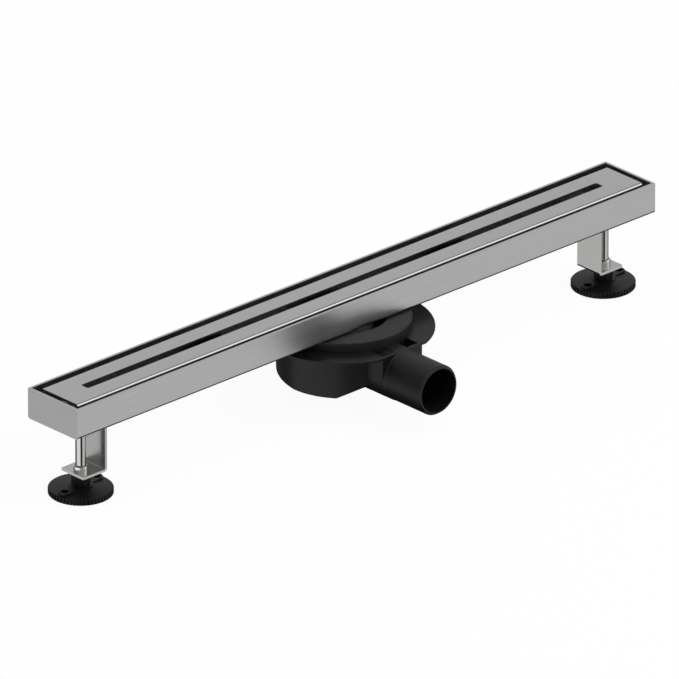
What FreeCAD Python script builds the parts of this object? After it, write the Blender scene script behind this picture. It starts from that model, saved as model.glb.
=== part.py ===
import FreeCAD, Part
import math
import os

from FreeCAD import Vector

# Linear shower drain with a central low trap and two levelling feet.
# X runs along the channel, -Y is the outlet side, +Z is up.
# The origin is the plan centre of the channel, on the plane the feet stand on.
# All sizes are in millimetres.

# Channel: a folded trough closed by two welded end plates
CHANNEL_LENGTH = 600.0
CHANNEL_WIDTH = 55.0
CHANNEL_DEPTH = 25.0
CHANNEL_SHEET = 2.0
CHANNEL_BEND_RADIUS = 2.4

# Slotted cover: folded down along its long edges, flush with the rim
COVER_SHEET = 2.0
COVER_BEND_RADIUS = 2.4
COVER_GAP = 5.0
COVER_SKIRT = 16.0
SLOT_WIDTH = 8.0
SLOT_CORNER_RADIUS = 1.5
SLOT_END_MARGIN = 25.5

# Saddles that centre the cover in the channel and carry its folded edges
SADDLE_OFFSET = 125.0
SADDLE_LENGTH = 12.0
SADDLE_SIDE_CLEARANCE = 0.2
SADDLE_CORNER_CHAMFER = 0.8
SADDLE_LEG_WIDTH = 9.6
SADDLE_ARCH_HEIGHT = 3.0
SADDLE_WEB = 2.5
SADDLE_WALL = 2.4
SADDLE_SKIN = 2.0

# Drain spigot welded under the channel, and the clearances of what it carries
SPIGOT_RADIUS = 23.0
SPIGOT_WALL = 1.5
SPIGOT_LENGTH = 12.0
SEAT_CLEARANCE = 0.05

# Clamp ring between the channel and the trap flange
RING_RADIUS = 52.0
RING_BORE_RADIUS = 33.0
RING_THICKNESS = 8.0
RING_WALL = 3.0
RING_EDGE_RADIUS = 0.8
RING_RIBS = 12
RING_RIB_WIDTH = 2.4

# Trap body: flange, bowl, water pot, neck and outlet in one moulding
FLANGE_RADIUS = 69.5
FLANGE_THICKNESS = 1.8
FLANGE_EDGE_RADIUS = 0.7
FLANGE_FLAT_DEPTH = 4.5
BODY_HEIGHT = 38.3
BOWL_TOP_RADIUS = 52.6
BOWL_BOTTOM_RADIUS = 51.4
BOWL_WALL = 2.2
BOWL_RAMP_START = 33.6
BOWL_RAMP_ANGLE = 36.3
BOWL_REAR_RISE_ANGLE = 5.4
POT_RADIUS = 32.0
POT_WALL = 2.0
POT_HEIGHT = 26.8
NECK_BORE_RADIUS = 27.0
NECK_WALL = 2.0
NECK_DEPTH = 7.5
NECK_SHELF = 1.6
NECK_SHELF_BORE_RADIUS = 23.6
COLLAR_WALL = 2.0
COLLAR_HEIGHT = 5.0
COLLAR_CLEARANCE = 0.1
SNAP_BEAD = 0.35

# Outlet pipe and the box-shaped root with its two open pockets
OUTLET_RADIUS = 20.0
OUTLET_WALL = 2.5
OUTLET_PLAIN_LENGTH = 36.0
OUTLET_LEAD_LENGTH = 2.0
OUTLET_LEAD_DEPTH = 1.4
STOP_STEP = 0.4
STOP_LENGTH = 1.0
STOP_GAP = 2.0
ROOT_WALL = 2.3
POCKET_INNER_SIDE = 6.0

# Dip tube, its seals and the hair strainer
TUBE_RADIUS = 20.4
TUBE_WALL = 1.5
TUBE_FLANGE_RADIUS = 23.6
TUBE_FLANGE_THICKNESS = 1.5
TUBE_FLOOR_GAP = 6.6
O_RING_SECTION_RADIUS = 0.75
O_RING_DEPTH = 6.0
STRAINER_FLANGE_RADIUS = 21.8
STRAINER_FLANGE_THICKNESS = 1.2
STRAINER_RADIAL_CLEARANCE = 0.3
STRAINER_WALL = 1.2
STRAINER_DEPTH = 9.0
STRAINER_HOLE_RADIUS = 1.7
STRAINER_HOLE_PITCH = 5.6
STRAINER_HOLE_RINGS = 2

# Levelling feet: bracket, press nut, threaded rod and base
FOOT_END_MARGIN = 28.4
BRACKET_SHEET = 2.0
BRACKET_WIDTH = 25.0
BRACKET_HEIGHT = 44.5
BRACKET_BEND_RADIUS = 2.6
BRACKET_CORNER_RADIUS = 1.0
BRACKET_BACK_OFFSET = 15.6
BRACKET_FOOT_LENGTH = 24.3
BRACKET_TOP_LENGTH = 22.0
NUT_RADIUS = 5.7
NUT_SHANK_RADIUS = 5.0
NUT_RISE = 4.0
NUT_MOUTH_CHAMFER = 0.7
NUT_EDGE_CHAMFER = 0.4
ROD_RADIUS = 4.0
ROD_HEADROOM = 3.5
ROD_TIP_CHAMFER = 0.8
ROD_FIT_CLEARANCE = 0.05
ROD_BASE_GAP = 2.4
BASE_RADIUS = 25.0
BASE_RIM_HEIGHT = 5.0
BASE_CROWN_HEIGHT = 6.5
BASE_SHELL = 1.8
BASE_EDGE_CHAMFER = 0.6
BASE_FLUTES = 52
BASE_FLUTE_DEPTH = 0.9
BASE_RIBS = 8
BASE_RIB_WIDTH = 1.6
BASE_TURN = 6.2
HUB_RADIUS = 9.5
HUB_HEIGHT = 7.3
HEX_WIDTH = 13.0
HEX_HEIGHT = 9.4
HEX_CORNER_CHAMFER = 0.9
HEX_TOP_GAP = 0.3
SCREW_OFFSET = 18.3
SCREW_HOLE_RADIUS = 3.25
PAD_RADIUS = 4.8
PAD_HEIGHT = 7.1

# Levels, counted up from the floor
BRACKET_Z = HUB_HEIGHT + HEX_HEIGHT + HEX_TOP_GAP
UNDERSIDE_Z = BRACKET_Z + BRACKET_HEIGHT
FLOOR_TOP_Z = UNDERSIDE_Z + CHANNEL_SHEET
RIM_Z = UNDERSIDE_Z + CHANNEL_DEPTH
COVER_UNDERSIDE_Z = RIM_Z - COVER_SHEET
FLANGE_TOP_Z = UNDERSIDE_Z - RING_THICKNESS
FLANGE_UNDERSIDE_Z = FLANGE_TOP_Z - FLANGE_THICKNESS
BODY_BOTTOM_Z = FLANGE_TOP_Z - BODY_HEIGHT
BOWL_FLOOR_Z = BODY_BOTTOM_Z + BOWL_WALL
OUTLET_AXIS_Z = FLANGE_TOP_Z - OUTLET_RADIUS

# Plan sizes that follow from the sizes above
FOOT_OFFSET = CHANNEL_LENGTH / 2 - FOOT_END_MARGIN
FLANGE_FLAT = FLANGE_RADIUS - FLANGE_FLAT_DEPTH
ROOT_RADIUS = OUTLET_RADIUS + STOP_STEP
OUTLET_STOP = FLANGE_FLAT + STOP_GAP
OUTLET_PLAIN_END = OUTLET_STOP + OUTLET_PLAIN_LENGTH
OUTLET_REACH = OUTLET_PLAIN_END + OUTLET_LEAD_LENGTH
COVER_LENGTH = CHANNEL_LENGTH - 2 * (CHANNEL_SHEET + COVER_GAP)
COVER_WIDTH = CHANNEL_WIDTH - 2 * (CHANNEL_SHEET + COVER_GAP)
SLOT_LENGTH = COVER_LENGTH - 2 * SLOT_END_MARGIN
SPIGOT_BORE_RADIUS = SPIGOT_RADIUS - SPIGOT_WALL
OUTLET_BORE_RADIUS = OUTLET_RADIUS - OUTLET_WALL


def box(x0, x1, y0, y1, z0, z1):
    """A block between two opposite corners."""
    return Part.makeBox(x1 - x0, y1 - y0, z1 - z0, Vector(x0, y0, z0))


def disc(radius, z0, z1):
    """An upright cylinder on the drain axis."""
    return Part.makeCylinder(radius, z1 - z0, Vector(0, 0, z0))


def turned(points):
    """A solid of revolution about Z from (radius, height) corners."""
    corners = [Vector(r, 0, z) for r, z in points]
    outline = Part.makePolygon(corners + corners[:1])
    return Part.Face(outline).revolve(Vector(0, 0, 0), Vector(0, 0, 1), 360)


def prism(points, x0, x1):
    """A solid along X from (y, z) corners."""
    corners = [Vector(x0, y, z) for y, z in points]
    outline = Part.makePolygon(corners + corners[:1])
    return Part.Face(outline).extrude(Vector(x1 - x0, 0, 0))


def arc(start, middle, end):
    return Part.Arc(start, middle, end).toShape()


def line(start, end):
    return Part.LineSegment(start, end).toShape()


def tray_outline(x, half, low, high, radius):
    """Edges of a tray's section, open at the top, in the plane at x."""
    turn = radius * math.sqrt(0.5)
    left_top = Vector(x, -half, high)
    left_low = Vector(x, -half, low + radius)
    left_mid = Vector(x, -half + radius - turn, low + radius - turn)
    left_base = Vector(x, -half + radius, low)
    right_base = Vector(x, half - radius, low)
    right_mid = Vector(x, half - radius + turn, low + radius - turn)
    right_low = Vector(x, half, low + radius)
    right_top = Vector(x, half, high)
    return [
        line(left_top, left_low),
        arc(left_low, left_mid, left_base),
        line(left_base, right_base),
        arc(right_base, right_mid, right_low),
        line(right_low, right_top),
        line(right_top, left_top),
    ]


def tray_block(x0, x1, half, low, high, radius):
    """A bar with the section of a tray, its two lower edges rounded."""
    face = Part.Face(Part.Wire(tray_outline(x0, half, low, high, radius)))
    return face.extrude(Vector(x1 - x0, 0, 0))


def folded_tray(x0, x1, width, low, high, sheet, bend):
    """Sheet folded up along both long edges, open at the ends and the top."""
    outside = tray_block(x0, x1, width / 2, low, high, bend)
    inside = tray_block(
        x0, x1, width / 2 - sheet, low + sheet, high + sheet, bend - sheet
    )
    return outside.cut(inside)


def edges_on_level(shape, z, tolerance=0.01):
    """Edges that lie flat at the height z."""
    return [
        edge for edge in shape.Edges
        if abs(edge.BoundBox.ZMin - z) < tolerance
        and abs(edge.BoundBox.ZMax - z) < tolerance
    ]


def edges_centred_at(shape, points, tolerance=0.01):
    """Edges whose middle lies on one of the points."""
    return [
        edge for edge in shape.Edges
        if min(edge.CenterOfMass.distanceToPoint(point) for point in points)
        < tolerance
    ]


def joined(first, others):
    """One clean solid from pieces of one moulding."""
    return first.fuse(others).removeSplitter()


def mirrored(shape):
    """The same shape on the other side of the drain, across the YZ plane."""
    return shape.mirror(Vector(0, 0, 0), Vector(1, 0, 0))


def channel_trough():
    """The folded channel between its end plates, with the drain hole."""
    half = CHANNEL_LENGTH / 2 - CHANNEL_SHEET
    tray = folded_tray(
        -half, half, CHANNEL_WIDTH, UNDERSIDE_Z, RIM_Z,
        CHANNEL_SHEET, CHANNEL_BEND_RADIUS,
    )
    hole = disc(
        SPIGOT_BORE_RADIUS, UNDERSIDE_Z - CHANNEL_SHEET, FLOOR_TOP_Z + CHANNEL_SHEET
    )
    return tray.cut(hole)


def end_plate():
    """Plate welded over the right end, with the outline of the folded sheet."""
    return tray_block(
        CHANNEL_LENGTH / 2 - CHANNEL_SHEET, CHANNEL_LENGTH / 2,
        CHANNEL_WIDTH / 2, UNDERSIDE_Z, RIM_Z, CHANNEL_BEND_RADIUS,
    )


def drain_spigot():
    """Short steel tube under the drain hole."""
    bottom = UNDERSIDE_Z - SPIGOT_LENGTH
    tube = disc(SPIGOT_RADIUS, bottom, UNDERSIDE_Z)
    return tube.cut(disc(SPIGOT_BORE_RADIUS, bottom, UNDERSIDE_Z))


def slot_cover():
    """Cover sheet with folded long edges and one long central slot."""
    half = COVER_LENGTH / 2
    upright = folded_tray(
        -half, half, COVER_WIDTH, 0, COVER_SKIRT,
        COVER_SHEET, COVER_BEND_RADIUS,
    )
    sheet = upright.mirror(Vector(0, 0, 0), Vector(0, 0, 1))
    sheet.translate(Vector(0, 0, RIM_Z))
    middle_z = (RIM_Z + COVER_UNDERSIDE_Z) / 2
    slot = box(
        -SLOT_LENGTH / 2, SLOT_LENGTH / 2, -SLOT_WIDTH / 2, SLOT_WIDTH / 2,
        middle_z - COVER_SHEET, middle_z + COVER_SHEET,
    )
    corners = [
        Vector(x, y, middle_z)
        for x in (-SLOT_LENGTH / 2, SLOT_LENGTH / 2)
        for y in (-SLOT_WIDTH / 2, SLOT_WIDTH / 2)
    ]
    slot = slot.makeFillet(SLOT_CORNER_RADIUS, edges_centred_at(slot, corners))
    return sheet.cut(slot)


def cover_saddle():
    """Moulded saddle: cored legs with shoulders, joined by a low web."""
    x0 = SADDLE_OFFSET - SADDLE_LENGTH / 2
    x1 = SADDLE_OFFSET + SADDLE_LENGTH / 2
    side = CHANNEL_WIDTH / 2 - CHANNEL_SHEET - SADDLE_SIDE_CLEARANCE
    outer = COVER_WIDTH / 2 - COVER_SHEET - SADDLE_SIDE_CLEARANCE
    inner = outer - SADDLE_LEG_WIDTH
    shoulder = RIM_Z - COVER_SKIRT
    web_low = FLOOR_TOP_Z + SADDLE_ARCH_HEIGHT
    web_top = web_low + SADDLE_WEB
    corner = SADDLE_CORNER_CHAMFER
    half = [
        (inner, web_low), (inner, FLOOR_TOP_Z),
        (side - corner, FLOOR_TOP_Z), (side, FLOOR_TOP_Z + corner),
        (side, shoulder), (outer, shoulder),
        (outer, COVER_UNDERSIDE_Z - corner),
        (outer - corner, COVER_UNDERSIDE_Z),
        (inner, COVER_UNDERSIDE_Z), (inner, web_top),
    ]
    other_half = [(-y, z) for y, z in reversed(half)]
    saddle = prism(half + other_half, x0, x1)

    # Cores from both faces, leaving one wall across the middle
    low = FLOOR_TOP_Z + SADDLE_SKIN
    areas = (
        (inner + SADDLE_SKIN, outer - SADDLE_SKIN, COVER_UNDERSIDE_Z - SADDLE_SKIN),
        (outer, side - SADDLE_SKIN, shoulder - SADDLE_SKIN),
    )
    depths = (
        (x0 - SADDLE_WALL, SADDLE_OFFSET - SADDLE_WALL / 2),
        (SADDLE_OFFSET + SADDLE_WALL / 2, x1 + SADDLE_WALL),
    )
    cores = []
    for y0, y1, high in areas:
        for start, end in depths:
            cores.append(box(start, end, y0, y1, low, high))
            cores.append(box(start, end, -y1, -y0, low, high))
    return saddle.cut(cores)


def clamp_ring():
    """Plastic ring under the channel, cored and ribbed from below."""
    low = FLANGE_TOP_Z
    high = UNDERSIDE_Z
    bead_z = low + COLLAR_HEIGHT / 2
    groove = RING_BORE_RADIUS + SNAP_BEAD
    ring = turned([
        (RING_BORE_RADIUS, low),
        (RING_RADIUS, low),
        (RING_RADIUS, high),
        (RING_BORE_RADIUS, high),
        (RING_BORE_RADIUS, bead_z + 2 * SNAP_BEAD),
        (groove, bead_z + SNAP_BEAD),
        (groove, bead_z - SNAP_BEAD),
        (RING_BORE_RADIUS, bead_z - 2 * SNAP_BEAD),
    ])
    ring = ring.makeFillet(RING_EDGE_RADIUS, edges_on_level(ring, high))
    core = disc(RING_RADIUS - RING_WALL, low, high - RING_WALL)
    core = core.cut(disc(RING_BORE_RADIUS + RING_WALL, low, high - RING_WALL))
    ribs = []
    for number in range(RING_RIBS):
        rib = box(
            RING_BORE_RADIUS, RING_RADIUS,
            -RING_RIB_WIDTH / 2, RING_RIB_WIDTH / 2, low, high,
        )
        angle = 360.0 * number / RING_RIBS
        rib.rotate(Vector(0, 0, 0), Vector(0, 0, 1), angle)
        ribs.append(rib)
    return ring.cut(core.cut(ribs))


def bowl_profile(inset):
    """(y, z) section limits of the bowl, moved inwards by inset."""
    ramp = math.tan(math.radians(BOWL_RAMP_ANGLE))
    rise = math.tan(math.radians(BOWL_REAR_RISE_ANGLE))
    ramp_shift = inset * math.tan(math.radians(BOWL_RAMP_ANGLE) / 2)
    rise_shift = inset * math.tan(math.radians(BOWL_REAR_RISE_ANGLE) / 2)
    low = BODY_BOTTOM_Z + inset
    ramp_y = -BOWL_RAMP_START + ramp_shift
    rear_y = -rise_shift
    far = FLANGE_RADIUS
    return [
        (-far, FLANGE_TOP_Z), (-far, low + (far + ramp_y) * ramp),
        (ramp_y, low), (rear_y, low),
        (far, low + (far - rear_y) * rise), (far, FLANGE_TOP_Z),
    ]


def bowl_form(inset, top):
    """The bowl's drafted cylinder, cut off by its sloping underside."""
    cone = turned([
        (0, BODY_BOTTOM_Z),
        (BOWL_BOTTOM_RADIUS - inset, BODY_BOTTOM_Z),
        (BOWL_TOP_RADIUS - inset, top),
        (0, top),
    ])
    reach = FLANGE_RADIUS
    return cone.common(prism(bowl_profile(inset), -reach, reach))


def outlet_cylinder(radius, y_inner, y_outer):
    """A cylinder on the outlet axis, between two distances from the drain."""
    start = Vector(0, -y_inner, OUTLET_AXIS_Z)
    return Part.makeCylinder(radius, y_outer - y_inner, start, Vector(0, -1, 0))


def outlet_cone(inner_radius, outer_radius, y_inner, y_outer):
    """A cone on the outlet axis, between two distances from the drain."""
    start = Vector(0, -y_inner, OUTLET_AXIS_Z)
    return Part.makeCone(
        inner_radius, outer_radius, y_outer - y_inner, start, Vector(0, -1, 0)
    )


def outlet_pipe():
    """Plain pipe from the stop shoulder of its root to the tapered mouth."""
    root_end = OUTLET_STOP - STOP_LENGTH
    root = outlet_cylinder(ROOT_RADIUS, BOWL_RAMP_START, root_end)
    stop = outlet_cone(ROOT_RADIUS, OUTLET_RADIUS, root_end, OUTLET_STOP)
    above = box(
        -ROOT_RADIUS, ROOT_RADIUS, -OUTLET_STOP, 0,
        FLANGE_TOP_Z, FLANGE_TOP_Z + ROOT_RADIUS,
    )
    plain = outlet_cylinder(OUTLET_RADIUS, OUTLET_STOP, OUTLET_PLAIN_END)
    lead = outlet_cone(
        OUTLET_RADIUS, OUTLET_RADIUS - OUTLET_LEAD_DEPTH,
        OUTLET_PLAIN_END, OUTLET_REACH,
    )
    return root.fuse(stop).cut(above).fuse([plain, lead])


def root_block():
    """Box-shaped root: flat sides tangent to the pipe, up to the flange."""
    return box(
        -ROOT_RADIUS, ROOT_RADIUS, -FLANGE_FLAT, -BOWL_RAMP_START,
        OUTLET_AXIS_Z, FLANGE_TOP_Z,
    )


def root_pockets():
    """Open pockets beside the pipe's crown, between it and the root walls."""
    solid_inside = [
        outlet_cylinder(ROOT_RADIUS, 0, OUTLET_REACH),
        disc(BOWL_TOP_RADIUS, BODY_BOTTOM_Z, FLANGE_TOP_Z + FLANGE_THICKNESS),
    ]
    pockets = []
    for side in (-1, 1):
        x0, x1 = sorted(
            (side * POCKET_INNER_SIDE, side * (ROOT_RADIUS - ROOT_WALL))
        )
        pocket = box(
            x0, x1, -FLANGE_FLAT + ROOT_WALL, 0,
            OUTLET_AXIS_Z, FLANGE_TOP_Z + FLANGE_THICKNESS,
        )
        pockets.append(pocket.cut(solid_inside))
    return pockets


def rounded_flange():
    """Thin flange with its straight front flat, on the pipe's root block."""
    flange = disc(FLANGE_RADIUS, FLANGE_UNDERSIDE_Z, FLANGE_TOP_Z)
    front = box(
        -FLANGE_RADIUS, FLANGE_RADIUS, -2 * FLANGE_RADIUS, -FLANGE_FLAT,
        BODY_BOTTOM_Z, UNDERSIDE_Z,
    )
    flange = joined(flange.cut(front), [root_block()])
    rim = edges_on_level(flange, FLANGE_TOP_Z)
    return flange.makeFillet(FLANGE_EDGE_RADIUS, rim)


def trap_body():
    """Flange, bowl, pot, neck, collar and outlet in one moulding."""
    outside = joined(
        rounded_flange(), [bowl_form(0, FLANGE_UNDERSIDE_Z), outlet_pipe()]
    )

    # Hollow bowl, leaving the pot that holds the water
    hollow = bowl_form(BOWL_WALL, FLANGE_UNDERSIDE_Z)
    pot_top = BOWL_FLOOR_Z + POT_HEIGHT - BOWL_WALL
    pot = disc(POT_RADIUS, BODY_BOTTOM_Z, pot_top)
    pot = pot.cut(disc(POT_RADIUS - POT_WALL, BODY_BOTTOM_Z, pot_top))
    neck_low = FLANGE_TOP_Z - NECK_DEPTH
    neck_radius = NECK_BORE_RADIUS + NECK_WALL
    neck = disc(neck_radius, neck_low, FLANGE_TOP_Z)
    hollow = hollow.cut([pot, neck])
    bore_start = BOWL_RAMP_START + OUTLET_WALL
    bore = outlet_cylinder(OUTLET_BORE_RADIUS, bore_start, OUTLET_REACH)

    # Stepped neck bore for the spigot seal
    shelf_top = neck_low + NECK_SHELF
    neck_bore = disc(NECK_BORE_RADIUS, shelf_top, FLANGE_TOP_Z)
    shelf_bore = disc(NECK_SHELF_BORE_RADIUS, neck_low, shelf_top)

    # Collar with a snap bead, which centres the clamp ring
    collar_radius = RING_BORE_RADIUS - COLLAR_CLEARANCE
    bead_radius = collar_radius + SNAP_BEAD
    bead_z = FLANGE_TOP_Z + COLLAR_HEIGHT / 2
    collar = turned([
        (collar_radius - COLLAR_WALL, FLANGE_TOP_Z),
        (collar_radius, FLANGE_TOP_Z),
        (collar_radius, bead_z - 2 * SNAP_BEAD),
        (bead_radius, bead_z - SNAP_BEAD),
        (bead_radius, bead_z + SNAP_BEAD),
        (collar_radius, bead_z + 2 * SNAP_BEAD),
        (collar_radius, FLANGE_TOP_Z + COLLAR_HEIGHT),
        (collar_radius - COLLAR_WALL, FLANGE_TOP_Z + COLLAR_HEIGHT),
    ])
    body = joined(outside, [collar])
    return body.cut([hollow, bore, neck_bore, shelf_bore] + root_pockets())


def spigot_seal():
    """Rubber lip ring between the steel spigot and the trap's neck."""
    low = FLANGE_TOP_Z - NECK_DEPTH + NECK_SHELF
    high = FLANGE_TOP_Z
    inner = SPIGOT_RADIUS + SEAT_CLEARANCE
    outer = NECK_BORE_RADIUS - SEAT_CLEARANCE
    mid = (inner + outer) / 2
    lip = (high - low) / 3
    return turned([
        (mid, low), (outer, low), (outer, high - lip / 2),
        (mid + lip / 2, high), (inner + lip / 2, high),
        (inner, high - lip / 2), (inner, low + lip), (mid - lip / 4, low + lip),
    ])


def dip_tube():
    """Removable tube that dips into the pot, with its flange and groove."""
    low = BOWL_FLOOR_Z + TUBE_FLOOR_GAP
    high = FLOOR_TOP_Z + TUBE_FLANGE_THICKNESS
    bore = TUBE_RADIUS - TUBE_WALL
    groove_radius = SPIGOT_BORE_RADIUS - 2 * O_RING_SECTION_RADIUS
    groove_half = O_RING_SECTION_RADIUS + 0.1
    groove_z = UNDERSIDE_Z - O_RING_DEPTH
    return turned([
        (bore, low), (TUBE_RADIUS, low),
        (TUBE_RADIUS, groove_z - groove_half),
        (groove_radius, groove_z - groove_half),
        (groove_radius, groove_z + groove_half),
        (TUBE_RADIUS, groove_z + groove_half),
        (TUBE_RADIUS, FLOOR_TOP_Z), (TUBE_FLANGE_RADIUS, FLOOR_TOP_Z),
        (TUBE_FLANGE_RADIUS, high), (bore, high),
    ])


def tube_o_ring():
    """O-ring in the dip tube's groove, against the spigot's bore."""
    centre = SPIGOT_BORE_RADIUS - O_RING_SECTION_RADIUS
    level = Vector(0, 0, UNDERSIDE_Z - O_RING_DEPTH)
    return Part.makeTorus(
        centre, O_RING_SECTION_RADIUS - SEAT_CLEARANCE / 2, level
    )


def hair_strainer():
    """Perforated basket that hangs in the dip tube by its flange."""
    seat = FLOOR_TOP_Z + TUBE_FLANGE_THICKNESS
    top = seat + STRAINER_FLANGE_THICKNESS
    basket = TUBE_RADIUS - TUBE_WALL - STRAINER_RADIAL_CLEARANCE
    low = seat - STRAINER_DEPTH
    cup = turned([
        (0, low), (basket, low), (basket, seat),
        (STRAINER_FLANGE_RADIUS, seat), (STRAINER_FLANGE_RADIUS, top),
        (basket - STRAINER_WALL, top),
        (basket - STRAINER_WALL, low + STRAINER_WALL), (0, low + STRAINER_WALL),
    ])
    hole = disc(STRAINER_HOLE_RADIUS, low - STRAINER_WALL, seat)
    holes = [hole]
    for ring in range(1, STRAINER_HOLE_RINGS + 1):
        radius = ring * STRAINER_HOLE_PITCH
        for number in range(6 * ring):
            angle = math.pi * number / (3 * ring)
            place = Vector(radius * math.cos(angle), radius * math.sin(angle), 0)
            holes.append(hole.translated(place))
    return cup.cut(holes)


def foot_bracket():
    """Z-shaped steel bracket: top flange inwards, foot flange outwards."""
    back = FOOT_OFFSET - BRACKET_BACK_OFFSET
    front = back + BRACKET_SHEET
    half = BRACKET_WIDTH / 2
    low = BRACKET_Z
    high = UNDERSIDE_Z
    web = box(back, front, -half, half, low, high)
    foot = box(
        back, back + BRACKET_FOOT_LENGTH, -half, half, low, low + BRACKET_SHEET
    )
    top = box(
        front - BRACKET_TOP_LENGTH, front, -half, half,
        high - BRACKET_SHEET, high,
    )
    bracket = joined(web, [foot, top])
    outside_bends = [Vector(back, 0, low), Vector(front, 0, high)]
    bracket = bracket.makeFillet(
        BRACKET_BEND_RADIUS, edges_centred_at(bracket, outside_bends)
    )
    inside_bends = [
        Vector(front, 0, low + BRACKET_SHEET), Vector(back, 0, high - BRACKET_SHEET)
    ]
    bracket = bracket.makeFillet(
        BRACKET_BEND_RADIUS - BRACKET_SHEET, edges_centred_at(bracket, inside_bends)
    )
    corners = [
        Vector(back + BRACKET_FOOT_LENGTH, y, low + BRACKET_SHEET / 2)
        for y in (-half, half)
    ]
    bracket = bracket.makeFillet(
        BRACKET_CORNER_RADIUS, edges_centred_at(bracket, corners)
    )
    hole = disc(NUT_SHANK_RADIUS, low - BRACKET_SHEET, low + 2 * BRACKET_SHEET)
    hole.translate(Vector(FOOT_OFFSET, 0, 0))
    return bracket.cut(hole)


def press_nut():
    """Threaded press nut set in the bracket's foot flange."""
    plate_top = BRACKET_Z + BRACKET_SHEET
    top = plate_top + NUT_RISE
    bore = ROD_RADIUS + ROD_FIT_CLEARANCE
    nut = turned([
        (bore, BRACKET_Z),
        (NUT_SHANK_RADIUS - SEAT_CLEARANCE, BRACKET_Z),
        (NUT_SHANK_RADIUS - SEAT_CLEARANCE, plate_top),
        (NUT_RADIUS, plate_top),
        (NUT_RADIUS, top - NUT_EDGE_CHAMFER),
        (NUT_RADIUS - NUT_EDGE_CHAMFER, top),
        (bore + NUT_MOUTH_CHAMFER, top),
        (bore, top - NUT_MOUTH_CHAMFER),
    ])
    nut.translate(Vector(FOOT_OFFSET, 0, 0))
    return nut


def threaded_rod():
    """Levelling rod, moulded into the base and running in the press nut."""
    low = ROD_BASE_GAP
    high = UNDERSIDE_Z - ROD_HEADROOM
    rod = turned([
        (0, low), (ROD_RADIUS, low),
        (ROD_RADIUS, high - ROD_TIP_CHAMFER),
        (ROD_RADIUS - ROD_TIP_CHAMFER, high), (0, high),
    ])
    rod.translate(Vector(FOOT_OFFSET, 0, 0))
    return rod


def fluted_outline():
    """Closed outline of the base rim with its shallow flutes."""
    root = BASE_RADIUS - BASE_FLUTE_DEPTH
    corners = []
    for number in range(BASE_FLUTES):
        for share, radius in (
            (0.0, BASE_RADIUS), (0.45, BASE_RADIUS), (0.6, root), (0.85, root)
        ):
            angle = 2 * math.pi * (number + share) / BASE_FLUTES
            corners.append(
                Vector(radius * math.cos(angle), radius * math.sin(angle), 0)
            )
    return Part.makePolygon(corners + corners[:1])


def foot_base():
    """Screw-down base: fluted disc, cored and ribbed below, with hexagon."""
    tip = BASE_CROWN_HEIGHT
    hub_z = HUB_HEIGHT
    column = Part.Face(fluted_outline()).extrude(Vector(0, 0, tip))
    dish = turned([
        (0, 0),
        (BASE_RADIUS - BASE_EDGE_CHAMFER, 0),
        (BASE_RADIUS, BASE_EDGE_CHAMFER),
        (BASE_RADIUS, BASE_RIM_HEIGHT - BASE_EDGE_CHAMFER),
        (BASE_RADIUS - BASE_EDGE_CHAMFER, BASE_RIM_HEIGHT),
        (HUB_RADIUS, tip), (0, tip),
    ])
    dish = column.common(dish)
    hub = disc(HUB_RADIUS, 0, hub_z)

    # Pads round the screw holes, with straight bars to the hub
    pads = []
    for side in (-1, 1):
        pad = disc(PAD_RADIUS, 0, PAD_HEIGHT)
        pad.translate(Vector(side * SCREW_OFFSET, 0, 0))
        x0, x1 = sorted((0, side * SCREW_OFFSET))
        bar = box(x0, x1, -PAD_RADIUS, PAD_RADIUS, 0, PAD_HEIGHT)
        pads += [pad, bar]

    # Hexagon with its corners turned off at both ends
    corner = HEX_WIDTH / 2 / math.cos(math.radians(30))
    top = hub_z + HEX_HEIGHT
    hexagon = Part.makePolygon([
        Vector(
            corner * math.cos(math.radians(60 * number)),
            corner * math.sin(math.radians(60 * number)), hub_z,
        )
        for number in range(7)
    ])
    hexagon = Part.Face(hexagon).extrude(Vector(0, 0, HEX_HEIGHT))
    limit = turned([
        (0, hub_z),
        (corner - HEX_CORNER_CHAMFER, hub_z),
        (corner, hub_z + HEX_CORNER_CHAMFER),
        (corner, top - HEX_CORNER_CHAMFER),
        (corner - HEX_CORNER_CHAMFER, top), (0, top),
    ])
    hexagon = hexagon.common(limit)
    base = joined(dish, [hub, hexagon] + pads)

    # Underside cored out round the hub, the ribs and the screw bosses
    core = turned([
        (HUB_RADIUS, 0),
        (BASE_RADIUS - BASE_FLUTE_DEPTH - BASE_SHELL, 0),
        (BASE_RADIUS - BASE_FLUTE_DEPTH - BASE_SHELL,
         BASE_RIM_HEIGHT - BASE_SHELL),
        (HUB_RADIUS, tip - BASE_SHELL),
    ])
    keep = []
    for number in range(BASE_RIBS):
        rib = box(
            0, BASE_RADIUS, -BASE_RIB_WIDTH / 2, BASE_RIB_WIDTH / 2, 0, tip
        )
        angle = 360.0 * (number + 0.5) / BASE_RIBS
        rib.rotate(Vector(0, 0, 0), Vector(0, 0, 1), angle)
        keep.append(rib)
    for side in (-1, 1):
        boss = disc(PAD_RADIUS, 0, tip)
        boss.translate(Vector(side * SCREW_OFFSET, 0, 0))
        keep.append(boss)
    cuts = [core.cut(keep)]
    for side in (-1, 1):
        hole = disc(SCREW_HOLE_RADIUS, -BASE_SHELL, PAD_HEIGHT + BASE_SHELL)
        hole.translate(Vector(side * SCREW_OFFSET, 0, 0))
        cuts.append(hole)
    cuts.append(disc(ROD_RADIUS + ROD_FIT_CLEARANCE, ROD_BASE_GAP, BRACKET_Z))
    base = base.cut(cuts)
    base.rotate(Vector(0, 0, 0), Vector(0, 0, 1), BASE_TURN)
    return base


def placed_base(side):
    """The base under its rod, turned alike on both feet."""
    base = foot_base()
    base.translate(Vector(side * FOOT_OFFSET, 0, 0))
    return base


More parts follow.
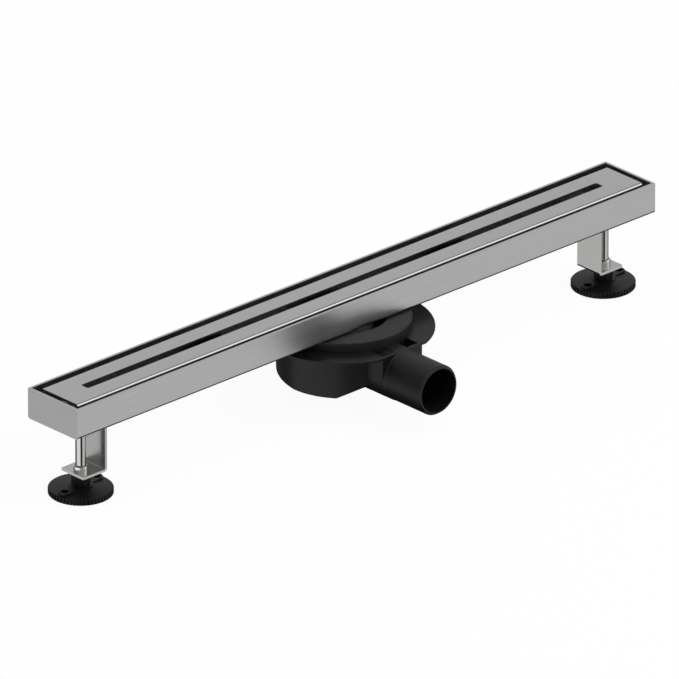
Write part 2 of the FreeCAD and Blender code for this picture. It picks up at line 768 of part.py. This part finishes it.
def build_nodes():
    """Every piece under the name a fitter would give it."""
    right_saddle = cover_saddle()
    right_plate = end_plate()
    bracket = foot_bracket()
    nut = press_nut()
    rod = threaded_rod()
    return {
        "channel_trough": channel_trough(),
        "end_plate_left": mirrored(right_plate),
        "end_plate_right": right_plate,
        "drain_spigot": drain_spigot(),
        "slot_cover": slot_cover(),
        "cover_saddle_left": mirrored(right_saddle),
        "cover_saddle_right": right_saddle,
        "hair_strainer": hair_strainer(),
        "dip_tube": dip_tube(),
        "tube_o_ring": tube_o_ring(),
        "clamp_ring": clamp_ring(),
        "spigot_seal": spigot_seal(),
        "trap_body": trap_body(),
        "foot_bracket_left": mirrored(bracket),
        "foot_bracket_right": bracket,
        "press_nut_left": mirrored(nut),
        "press_nut_right": nut,
        "levelling_rod_left": mirrored(rod),
        "levelling_rod_right": rod,
        "foot_base_left": placed_base(-1),
        "foot_base_right": placed_base(1),
    }


def main():
    os.makedirs("parts", exist_ok=True)
    for name, shape in build_nodes().items():
        shape.exportStep(os.path.join("parts", name + ".step"))


if __name__ == "__main__":
    main()
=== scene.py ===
import math
from collections import namedtuple

import bpy
from bpy.props import FloatProperty, FloatVectorProperty, PointerProperty
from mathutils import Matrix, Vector


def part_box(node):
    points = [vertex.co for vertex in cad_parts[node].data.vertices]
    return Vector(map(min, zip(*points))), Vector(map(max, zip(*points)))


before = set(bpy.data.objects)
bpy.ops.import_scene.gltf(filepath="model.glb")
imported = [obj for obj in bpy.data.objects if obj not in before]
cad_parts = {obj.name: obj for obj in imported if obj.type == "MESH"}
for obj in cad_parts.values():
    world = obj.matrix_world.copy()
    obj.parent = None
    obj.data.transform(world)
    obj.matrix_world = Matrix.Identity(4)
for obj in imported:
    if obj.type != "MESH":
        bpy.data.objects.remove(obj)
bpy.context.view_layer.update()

bl_info = {
    "name": "Linear Floor Drain",
    "version": (1, 0, 0),
    "blender": (4, 5, 0),
    "location": "3D View > Sidebar > Drain",
    "description": "Dresses a slotted shower channel, its trap and its levelling feet",
    "category": "Object",
}

MM = 0.001

# Width of the picture in pixels and of the camera's sensor in millimetres
PICTURE_WIDTH = 679
SENSOR_WIDTH = 36.0

# The view starts before the drain and ends past it by this share of its distance
CLIP_SHARE = 0.5

# Whiteness of the floor, and what is added to it where the camera sees it
FLOOR_SHADE = 0.5
FLOOR_LIFT = 0.45

# Noise cells per metre along X, Y and Z
LINE_CELLS = (3000.0, 3000.0, 60.0)
BRACKET_LINE_CELLS = (1600.0, 1600.0, 45.0)
STEEL_CLOUD_CELLS = (90.0, 90.0, 90.0)
PLASTIC_CLOUD_CELLS = (45.0, 45.0, 45.0)
RUBBER_CLOUD_CELLS = (160.0, 160.0, 160.0)
RUBBER_GRAIN_CELLS = (2500.0, 2500.0, 2500.0)

# How far a pattern moves the shade and the roughness of a finish
Spread = namedtuple("Spread", "shade rough")
STEEL_LINES = Spread(0.10, 0.05)
STEEL_CLOUD = Spread(0.06, 0.05)
PLASTIC_GRAIN = Spread(0.5, 0.12)
PLASTIC_CLOUD = Spread(0.25, 0.08)
RUBBER_CLOUD = Spread(0.5, 0.15)

# Brushed sheet: how much wider and longer its broad lines are than the fine ones, and
# the share of the fine ones
BROAD_WIDTH = 5.0
BROAD_LENGTH = 3.0
FINE_SHARE = 0.7

# Width of the fold along each long edge of the cover
COVER_FOLD = 2.0 * MM

# Brackets: heights above the underside where the flange's polish ends and the web's
# brushing is full, then the brushing and roughness of the flange and what the web adds
POLISH_END = 1.5 * MM
BRUSHING_FULL = 4.0 * MM
FLANGE_BRUSHING = 0.03
WEB_BRUSHING = 0.09
FLANGE_ROUGHNESS = 0.11
WEB_ROUGHNESS = 0.15
BRUSHING_ROUGHNESS = 0.6
BRACKET_CLOUD_SHADE = 0.04

# Soft patches of the surroundings. A later patch covers those before it. Its first five
# numbers are in degrees: the direction of its middle, turned from X towards Y, half its
# width, its lowest and highest elevation, and the softness of its edges. With None for
# its direction and width it goes all round, and with None for a height it has no such
# edge. Its last number is its brightness, and white is 1.
Patch = namedtuple("Patch", "azimuth half_width low high soft level")
SURROUNDINGS = (
    Patch(None, None, None, -19.0, 3.0, 0.03),
    Patch(None, None, 60.0, None, 8.0, 1.0),
    Patch(135.0, 32.0, 4.0, 52.0, 8.0, 0.36),
    Patch(177.5, 46.3, -42.0, -8.0, 4.0, 1.24),
    Patch(-54.0, 39.0, -36.0, 0.0, 4.0, 0.855),
    Patch(-115.0, 20.0, -20.0, 6.0, 2.0, 0.56),
    Patch(50.0, 60.0, -20.0, 6.0, 2.0, 0.64),
    Patch(50.0, 45.0, 4.0, 48.0, 8.0, 0.715),
    Patch(-145.0, 35.0, 6.0, 55.0, 8.0, 0.56),
    Patch(-62.0, 55.0, 12.0, 50.0, 8.0, 0.66),
    Patch(-46.0, 21.0, 24.0, 47.0, 4.0, 1.85),
)


class Value:
    """One output of a shader node, which can be used in arithmetic."""

    def __init__(self, finish, socket):
        self.finish = finish
        self.socket = socket

    def _math(self, operation, first, second):
        return self.finish.add(
            "ShaderNodeMath", {"operation": operation}, {0: first, 1: second}
        )

    def __add__(self, other):
        return self._math("ADD", self, other)

    def __radd__(self, other):
        return self._math("ADD", other, self)

    def __sub__(self, other):
        return self._math("SUBTRACT", self, other)

    def __rsub__(self, other):
        return self._math("SUBTRACT", other, self)

    def __mul__(self, other):
        return self._math("MULTIPLY", self, other)

    def __rmul__(self, other):
        return self._math("MULTIPLY", other, self)

    def __abs__(self):
        return self.finish.add("ShaderNodeMath", {"operation": "ABSOLUTE"}, {0: self})


class Finish:
    """A node tree under construction: a material's, or the world's."""

    def __init__(self, owner):
        owner.use_nodes = True
        self.owner = owner
        self.tree = owner.node_tree
        self.tree.nodes.clear()

    def add(self, kind, settings=None, inputs=None, output=0):
        """Adds one node, sets it up, feeds its sockets and returns one output."""
        node = self.tree.nodes.new(kind)
        for name, value in (settings or {}).items():
            setattr(node, name, value)
        for key, value in (inputs or {}).items():
            if isinstance(value, Value):
                self.tree.links.new(value.socket, node.inputs[key])
            else:
                node.inputs[key].default_value = value
        return Value(self, node.outputs[output]) if len(node.outputs) else None

    def axis(self, where, letter):
        """The X, Y or Z of a place or direction."""
        return self.add("ShaderNodeSeparateXYZ", inputs={0: where}, output=letter)

    def place(self):
        """Object coordinates in metres."""
        return self.add("ShaderNodeTexCoord", output="Object")

    def noise(self, cells, detail=2.0, roughness=0.5, offset=(0.0, 0.0, 0.0)):
        """Noise from -0.5 to 0.5, with so many cells per metre along X, Y and Z."""
        where = self.add(
            "ShaderNodeMapping",
            inputs={"Vector": self.place(), "Location": offset, "Scale": cells},
        )
        return self.add(
            "ShaderNodeTexNoise", {"noise_dimensions": "3D"},
            {"Vector": where, "Scale": 1.0, "Detail": detail, "Roughness": roughness},
        ) - 0.5

    def tint(self, colour, factor):
        """A colour made darker or lighter by a factor that varies."""
        grey = self.add("ShaderNodeCombineXYZ", inputs={0: factor, 1: factor, 2: factor})
        return self.add(
            "ShaderNodeVectorMath", {"operation": "MULTIPLY"},
            {0: tuple(colour), 1: grey},
        )

    def rise(self, value, low, high):
        """0 below low, 1 above high and an even curve between them."""
        return self.add(
            "ShaderNodeMapRange", {"interpolation_type": "SMOOTHSTEP"},
            {"Value": value, "From Min": low, "From Max": high},
        )

    def bump(self, height, depth, strength):
        """The surface's direction where a pattern of some depth stands out of it."""
        return self.add(
            "ShaderNodeBump",
            inputs={"Height": height, "Distance": depth, "Strength": strength},
        )

    def surface(self, shader):
        """Ends the tree with a shader and returns the material or the world."""
        kind = "ShaderNodeOutputMaterial"
        if isinstance(self.owner, bpy.types.World):
            kind = "ShaderNodeOutputWorld"
        self.add(kind, inputs={"Surface": shader})
        return self.owner


def new_finish(name):
    """An empty node tree in a new material."""
    return Finish(bpy.data.materials.new(name))


def brushed_steel(name, settings, along, fold_start=None):
    """Stainless sheet with fine brush lines along X (0) or Y (1).

    Further than fold_start from the middle it is folded, and stretched smooth there.
    """
    finish = new_finish(name)
    fine_cells = [1.0 / settings.line_width] * 3
    fine_cells[along] = 1.0 / settings.line_length
    broad_cells = [1.0 / (settings.line_width * BROAD_WIDTH)] * 3
    broad_cells[along] = 1.0 / (settings.line_length * BROAD_LENGTH)
    fine = finish.noise(fine_cells, detail=3.0, roughness=0.6)
    broad = finish.noise(broad_cells, detail=1.0, offset=(3.1, 1.7, 5.3))
    lines = fine * FINE_SHARE + broad * (1.0 - FINE_SHARE)
    shade = 1.0 + lines * settings.line_contrast
    rough = settings.roughness + lines * settings.roughness_spread
    if fold_start is not None:
        side = abs(finish.axis(finish.place(), "Y"))
        fold = finish.rise(side, fold_start, fold_start + MM)
        rough = rough - fold * settings.fold_polish
    shader = finish.add(
        "ShaderNodeBsdfPrincipled", inputs={
            "Base Color": finish.tint(settings.colour, shade),
            "Metallic": 1.0,
            "Roughness": rough,
            "Normal": finish.bump(fine, depth=settings.line_depth, strength=0.6),
        },
    )
    return finish.surface(shader)


def bright_steel(name, colour, roughness, edge_tint, lines_share=1.0):
    """Smooth rolled, turned or plated steel with faint upright lines."""
    finish = new_finish(name)
    lines = finish.noise(LINE_CELLS) * lines_share
    cloud = finish.noise(STEEL_CLOUD_CELLS, offset=(2.0, 7.0, 1.0))
    shade = 1.0 + lines * STEEL_LINES.shade + cloud * STEEL_CLOUD.shade
    shader = finish.add(
        "ShaderNodeBsdfPrincipled", inputs={
            "Base Color": finish.tint(colour, shade),
            "Metallic": 1.0,
            "Roughness": roughness + lines * STEEL_LINES.rough + cloud * STEEL_CLOUD.rough,
            "Specular Tint": (edge_tint, edge_tint, edge_tint, 1.0),
            "Normal": finish.bump(lines, depth=0.004 * MM, strength=0.3),
        },
    )
    return finish.surface(shader)


def bracket_steel(name, colour, edge_tint, underside):
    """Bent strip: its upright web is brushed, its lower flange is polished."""
    finish = new_finish(name)
    height = finish.axis(finish.place(), "Z")
    web = finish.rise(height, underside + POLISH_END, underside + BRUSHING_FULL)
    lines = finish.noise(BRACKET_LINE_CELLS, detail=3.0, roughness=0.6)
    cloud = finish.noise(STEEL_CLOUD_CELLS, offset=(2.0, 7.0, 1.0))
    brushed = lines * (FLANGE_BRUSHING + WEB_BRUSHING * web)
    shade = 1.0 + brushed + cloud * BRACKET_CLOUD_SHADE
    rough = FLANGE_ROUGHNESS + WEB_ROUGHNESS * web + brushed * BRUSHING_ROUGHNESS
    shader = finish.add(
        "ShaderNodeBsdfPrincipled", inputs={
            "Base Color": finish.tint(colour, shade),
            "Metallic": 1.0,
            "Roughness": rough,
            "Specular Tint": (edge_tint, edge_tint, edge_tint, 1.0),
            "Normal": finish.bump(brushed, depth=0.02 * MM, strength=0.5),
        },
    )
    return finish.surface(shader)


def moulded_plastic(name, settings, shade, gloss=1.0):
    """Black moulded plastic: spark-eroded grain, faint cloudiness in the gloss."""
    finish = new_finish(name)
    grain_cells = [1.0 / settings.grain] * 3
    grain = finish.noise(grain_cells, detail=3.0, roughness=0.65)
    cloud = finish.noise(PLASTIC_CLOUD_CELLS, detail=3.0, offset=(4.0, 2.0, 9.0))
    tone = shade * (1.0 + grain * PLASTIC_GRAIN.shade + cloud * PLASTIC_CLOUD.shade)
    rough = settings.roughness + grain * PLASTIC_GRAIN.rough + cloud * PLASTIC_CLOUD.rough
    shader = finish.add(
        "ShaderNodeBsdfPrincipled", inputs={
            "Base Color": finish.tint(settings.colour, tone),
            "Roughness": rough,
            "Specular IOR Level": settings.gloss * gloss,
            "Normal": finish.bump(grain, depth=settings.grain_depth, strength=0.5),
        },
    )
    return finish.surface(shader)


def soft_rubber(name, colour, roughness, gloss):
    """Dull black rubber with a fine talc-like cloudiness."""
    finish = new_finish(name)
    cloud = finish.noise(RUBBER_CLOUD_CELLS, detail=4.0)
    grain = finish.noise(RUBBER_GRAIN_CELLS)
    shader = finish.add(
        "ShaderNodeBsdfPrincipled", inputs={
            "Base Color": finish.tint(colour, 1.0 + cloud * RUBBER_CLOUD.shade),
            "Roughness": roughness + cloud * RUBBER_CLOUD.rough,
            "Specular IOR Level": gloss,
            "Normal": finish.bump(grain, depth=0.01 * MM, strength=0.5),
        },
    )
    return finish.surface(shader)


def dress(material, *nodes):
    """Puts a material on every slot of the named CAD nodes."""
    for name in nodes:
        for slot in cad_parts[name].material_slots:
            slot.material = material


def start_clean():
    """Leaves edit mode and deselects everything."""
    if bpy.context.object and bpy.context.object.mode != "OBJECT":
        bpy.ops.object.mode_set(mode="OBJECT")
    bpy.ops.object.select_all(action="DESELECT")


def colour_property(name, description, default):
    """A colour that the panel shows."""
    return FloatVectorProperty(
        name=name, description=description, subtype="COLOR",
        size=3, min=0.0, max=1.0, default=default,
    )


class DrainSteelSettings(bpy.types.PropertyGroup):
    """Brushed stainless sheet"""

    colour: colour_property("Colour", "Reflectance of the steel", (0.5, 0.5, 0.5))
    roughness: FloatProperty(
        name="Roughness", description="Mean roughness", subtype="FACTOR",
        default=0.3, min=0.0, max=1.0,
    )
    roughness_spread: FloatProperty(
        name="Roughness Spread", description="How much the brush lines change it",
        default=0.12,
    )
    fold_polish: FloatProperty(
        name="Fold Polish", description="How much smoother the steel is where it is folded",
        default=0.18,
    )
    line_width: FloatProperty(
        name="Line Width", description="Width of a brush line", unit="LENGTH",
        default=0.35 * MM,
    )
    line_length: FloatProperty(
        name="Line Length", description="Length of a brush line", unit="LENGTH",
        default=45.0 * MM,
    )
    line_contrast: FloatProperty(
        name="Line Contrast", description="Change of shade from line to line",
        default=0.4,
    )
    line_depth: FloatProperty(
        name="Line Depth", description="Depth of a brush line", unit="LENGTH",
        default=0.01 * MM,
    )


class DrainPlasticSettings(bpy.types.PropertyGroup):
    """Black moulded plastic"""

    colour: colour_property("Colour", "Colour of the plastic", (0.005, 0.005, 0.0052))
    roughness: FloatProperty(
        name="Roughness", description="Mean roughness", subtype="FACTOR",
        default=0.46, min=0.0, max=1.0,
    )
    gloss: FloatProperty(
        name="Gloss", description="Specular level", subtype="FACTOR",
        default=0.4, min=0.0, max=1.0,
    )
    grain: FloatProperty(
        name="Grain", description="Size of the grain", unit="LENGTH", default=0.45 * MM,
    )
    grain_depth: FloatProperty(
        name="Grain Depth", description="Depth of the grain", unit="LENGTH",
        default=0.03 * MM,
    )


class DrainFittingSettings(bpy.types.PropertyGroup):
    """Spigot, brackets, nuts, rods and seals"""

    spigot_colour: colour_property(
        "Spigot", "Reflectance of the welded spigot", (0.62, 0.62, 0.61)
    )
    bracket_colour: colour_property(
        "Brackets", "Reflectance of the foot brackets", (0.5, 0.495, 0.485)
    )
    nut_colour: colour_property("Nuts", "Reflectance of the press nuts", (0.72, 0.7, 0.69))
    rod_colour: colour_property(
        "Rods", "Reflectance of the levelling rods", (0.5, 0.495, 0.49)
    )
    seal_colour: colour_property(
        "Seals", "Colour of the rubber seals", (0.018, 0.018, 0.018)
    )


class DrainStageSettings(bpy.types.PropertyGroup):
    """Camera, floor and lights"""

    azimuth: FloatProperty(
        name="Azimuth", description="Camera's turn about Z", subtype="ANGLE",
        default=math.radians(-43.1),
    )
    elevation: FloatProperty(
        name="Elevation", description="Camera's height above the horizon",
        subtype="ANGLE", default=math.radians(24.9),
    )
    lens: FloatProperty(
        name="Lens", description="Focal length in millimetres", unit="CAMERA",
        default=1650.0,
    )
    pixels_per_metre: FloatProperty(
        name="Scale", description="Pixels of the picture per metre of the object",
        default=1317.0,
    )
    aim_right: FloatProperty(
        name="Aim Right", description="Picture centre, right of the origin",
        unit="LENGTH", default=-0.00326,
    )
    aim_up: FloatProperty(
        name="Aim Up", description="Picture centre, above the origin",
        unit="LENGTH", default=0.0370,
    )
    floor_size: FloatProperty(
        name="Floor", description="Side of the floor", unit="LENGTH", default=30.0,
    )
    floor_white: FloatProperty(
        name="Floor White",
        description="Share of the white beyond that shows through the floor",
        subtype="FACTOR", default=0.95, min=0.0, max=1.0,
    )
    world_level: FloatProperty(
        name="World", description="Brightness of the even surroundings", default=0.24,
    )
    lamp_place: FloatVectorProperty(
        name="Lamp Place", description="Middle of the large lamp, front right and above",
        size=3, subtype="TRANSLATION", unit="LENGTH", default=(0.67, -1.16, 1.34),
    )
    lamp_side: FloatProperty(
        name="Lamp Side", description="Side of the large lamp", unit="LENGTH", default=1.2,
    )
    lamp_power: FloatProperty(
        name="Lamp Power", description="Power of the large lamp", unit="POWER",
        default=16.0,
    )


class DRAIN_OT_channel(bpy.types.Operator):
    """Brushes the channel, its end plates and its spigot"""

    bl_idname = "drain.channel"
    bl_label = "Channel"

    def execute(self, context):
        steel = context.scene.drain_steel
        dress(brushed_steel("channel_brushed", steel, along=0), "channel_trough")
        dress(
            brushed_steel("end_plate_brushed", steel, along=1),
            "end_plate_left", "end_plate_right",
        )
        colour = context.scene.drain_fittings.spigot_colour
        dress(
            bright_steel("spigot_steel", colour, roughness=0.5, edge_tint=1.0),
            "drain_spigot",
        )
        return {"FINISHED"}


class DRAIN_OT_cover(bpy.types.Operator):
    """Brushes the slotted cover and blackens the saddles under it"""

    bl_idname = "drain.cover"
    bl_label = "Cover"

    def execute(self, context):
        steel = context.scene.drain_steel
        fold_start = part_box("slot_cover")[1].y - COVER_FOLD
        dress(
            brushed_steel("cover_brushed", steel, along=0, fold_start=fold_start),
            "slot_cover",
        )
        dress(
            moulded_plastic("saddle_black", context.scene.drain_plastic, shade=1.2),
            "cover_saddle_left", "cover_saddle_right",
        )
        return {"FINISHED"}


class DRAIN_OT_trap(bpy.types.Operator):
    """Finishes the trap, its clamp ring and the pieces inside"""

    bl_idname = "drain.trap"
    bl_label = "Trap"

    def execute(self, context):
        plastic = context.scene.drain_plastic
        dress(moulded_plastic("trap_black", plastic, shade=1.0, gloss=0.93), "trap_body")
        dress(moulded_plastic("ring_black", plastic, shade=1.4, gloss=1.2), "clamp_ring")
        dress(
            moulded_plastic("insert_black", plastic, shade=1.1),
            "dip_tube", "hair_strainer",
        )
        colour = context.scene.drain_fittings.seal_colour
        dress(
            soft_rubber("seal_rubber_black", colour, roughness=0.72, gloss=0.35),
            "spigot_seal", "tube_o_ring",
        )
        return {"FINISHED"}


class DRAIN_OT_feet(bpy.types.Operator):
    """Finishes the brackets, nuts, rods and bases of the levelling feet"""

    bl_idname = "drain.feet"
    bl_label = "Levelling Feet"

    def execute(self, context):
        fittings = context.scene.drain_fittings
        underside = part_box("foot_bracket_left")[0].z
        dress(
            bracket_steel(
                "bracket_bright", fittings.bracket_colour,
                edge_tint=0.9, underside=underside,
            ),
            "foot_bracket_left", "foot_bracket_right",
        )
        dress(
            bright_steel(
                "nut_bright", fittings.nut_colour,
                roughness=0.22, edge_tint=0.9, lines_share=0.2,
            ),
            "press_nut_left", "press_nut_right",
        )
        dress(
            bright_steel("rod_plated", fittings.rod_colour, roughness=0.07, edge_tint=0.5),
            "levelling_rod_left", "levelling_rod_right",
        )
        plastic = context.scene.drain_plastic
        dress(
            moulded_plastic("base_black", plastic, shade=0.9, gloss=0.6),
            "foot_base_left", "foot_base_right",
        )
        return {"FINISHED"}


class DRAIN_OT_stage(bpy.types.Operator):
    """Lays the pale floor and sets up the light and the camera"""

    bl_idname = "drain.stage"
    bl_label = "Stage"

    def execute(self, context):
        settings = context.scene.drain_stage
        self.lay_floor(settings)
        self.light_world(context.scene, settings)
        self.hang_lamp(settings)
        self.place_camera(context.scene, settings)
        context.scene.view_settings.view_transform = "Standard"
        return {"FINISHED"}

    def lay_floor(self, settings):
        """A pale floor that keeps a faint shadow, and is clear from below.

        The white beyond shows through it, and so do feet that are lower than it is.
        """
        start_clean()
        bpy.ops.mesh.primitive_plane_add(size=settings.floor_size)
        floor = bpy.context.object
        floor.name = "floor"
        floor.visible_glossy = False
        finish = new_finish("floor_white")
        seen = finish.add("ShaderNodeLightPath", output="Is Camera Ray")
        below = finish.add("ShaderNodeNewGeometry", output="Backfacing")
        shade = finish.tint((1.0, 1.0, 1.0), FLOOR_SHADE + FLOOR_LIFT * seen)
        plain = finish.add("ShaderNodeBsdfDiffuse", inputs={"Color": shade})
        clear = finish.add("ShaderNodeBsdfTransparent")
        share = seen * (settings.floor_white + (1.0 - settings.floor_white) * below)
        shader = finish.add("ShaderNodeMixShader", inputs={0: share, 1: plain, 2: clear})
        floor.data.materials.append(finish.surface(shader))

    def light_world(self, scene, settings):
        """Even surroundings with a few soft patches, which the bright metal mirrors.

        The camera itself sees plain white.
        """
        world = bpy.data.worlds.new("studio_surroundings")
        scene.world = world
        finish = Finish(world)
        way = finish.add("ShaderNodeTexCoord", output="Generated")
        level = settings.world_level
        for patch in SURROUNDINGS:
            level = level + self.patch(finish, way, patch) * (patch.level - level)
        seen = finish.add("ShaderNodeLightPath", output="Is Camera Ray")
        white = (1.0, 1.0, 1.0, 1.0)
        strength = level + seen * (1.0 - level)
        finish.surface(finish.add(
            "ShaderNodeBackground", inputs={"Color": white, "Strength": strength}
        ))

    def patch(self, finish, way, patch):
        """1 inside a patch of the surroundings and 0 outside, with soft edges."""
        height = finish.axis(way, "Z")
        soft = math.radians(patch.soft)
        inside = 1.0
        if patch.low is not None:
            low = math.radians(patch.low)
            inside = finish.rise(height, math.sin(low - soft), math.sin(low + soft))
        if patch.high is not None:
            high = math.radians(patch.high)
            above = finish.rise(height, math.sin(high - soft), math.sin(high + soft))
            inside = inside * (1.0 - above)
        if patch.half_width is None:
            return inside
        turn = math.radians(patch.azimuth)
        flat = finish.add(
            "ShaderNodeVectorMath", {"operation": "MULTIPLY"},
            {0: way, 1: (1.0, 1.0, 0.0)},
        )
        flat = finish.add("ShaderNodeVectorMath", {"operation": "NORMALIZE"}, {0: flat})
        facing = finish.add(
            "ShaderNodeVectorMath", {"operation": "DOT_PRODUCT"},
            {0: flat, 1: (math.cos(turn), math.sin(turn), 0.0)}, output="Value",
        )
        half = math.radians(patch.half_width)
        return inside * finish.rise(facing, math.cos(half + soft), math.cos(half - soft))

    def hang_lamp(self, settings):
        """One large soft lamp that looks at the drain and isn't mirrored in it."""
        start_clean()
        bpy.ops.object.light_add(type="AREA", location=settings.lamp_place)
        lamp = bpy.context.object
        lamp.name = "key_lamp"
        lamp.data.shape = "SQUARE"
        lamp.data.size = settings.lamp_side
        lamp.data.energy = settings.lamp_power
        lamp.visible_glossy = False
        lamp.rotation_euler = (-lamp.location).to_track_quat("-Z", "Y").to_euler()

    def place_camera(self, scene, settings):
        """The camera at the picture's angle, so far off that the view is nearly parallel."""
        turn = settings.azimuth
        rise = settings.elevation
        back = Vector((
            math.sin(turn) * math.cos(rise),
            -math.cos(turn) * math.cos(rise),
            math.sin(rise),
        ))
        right = Vector((math.cos(turn), math.sin(turn), 0.0))
        up = back.cross(right)
        target = right * settings.aim_right + up * settings.aim_up
        frame_width = PICTURE_WIDTH / settings.pixels_per_metre
        distance = frame_width * settings.lens / SENSOR_WIDTH
        data = bpy.data.cameras.new("photo_camera")
        data.lens = settings.lens
        data.sensor_width = SENSOR_WIDTH
        data.clip_start = distance * (1.0 - CLIP_SHARE)
        data.clip_end = distance * (1.0 + CLIP_SHARE)
        camera = bpy.data.objects.new("photo_camera", data)
        scene.collection.objects.link(camera)
        camera.location = target + back * distance
        camera.rotation_mode = "QUATERNION"
        camera.rotation_quaternion = back.to_track_quat("Z", "Y")
        scene.camera = camera


class DRAIN_PT_panel(bpy.types.Panel):
    """Lists the steps that dress the drain, and their settings"""

    bl_label = "Floor Drain"
    bl_idname = "DRAIN_PT_panel"
    bl_space_type = "VIEW_3D"
    bl_region_type = "UI"
    bl_category = "Drain"

    def draw(self, context):
        for step in STEPS:
            self.layout.operator(step.bl_idname)
        for group in GROUPS:
            settings = getattr(context.scene, group)
            for name in settings.__annotations__:
                self.layout.prop(settings, name)


STEPS = (DRAIN_OT_channel, DRAIN_OT_cover, DRAIN_OT_trap, DRAIN_OT_feet, DRAIN_OT_stage)
GROUPS = {
    "drain_steel": DrainSteelSettings,
    "drain_plastic": DrainPlasticSettings,
    "drain_fittings": DrainFittingSettings,
    "drain_stage": DrainStageSettings,
}


def register():
    for name, group in GROUPS.items():
        bpy.utils.register_class(group)
        setattr(bpy.types.Scene, name, PointerProperty(type=group))
    for step in STEPS:
        bpy.utils.register_class(step)
    bpy.utils.register_class(DRAIN_PT_panel)


def unregister():
    bpy.utils.unregister_class(DRAIN_PT_panel)
    for step in reversed(STEPS):
        bpy.utils.unregister_class(step)
    for name, group in GROUPS.items():
        delattr(bpy.types.Scene, name)
        bpy.utils.unregister_class(group)


def main():
    register()
    bpy.ops.drain.channel()
    bpy.ops.drain.cover()
    bpy.ops.drain.trap()
    bpy.ops.drain.feet()
    bpy.ops.drain.stage()


if __name__ == "__main__":
    main()
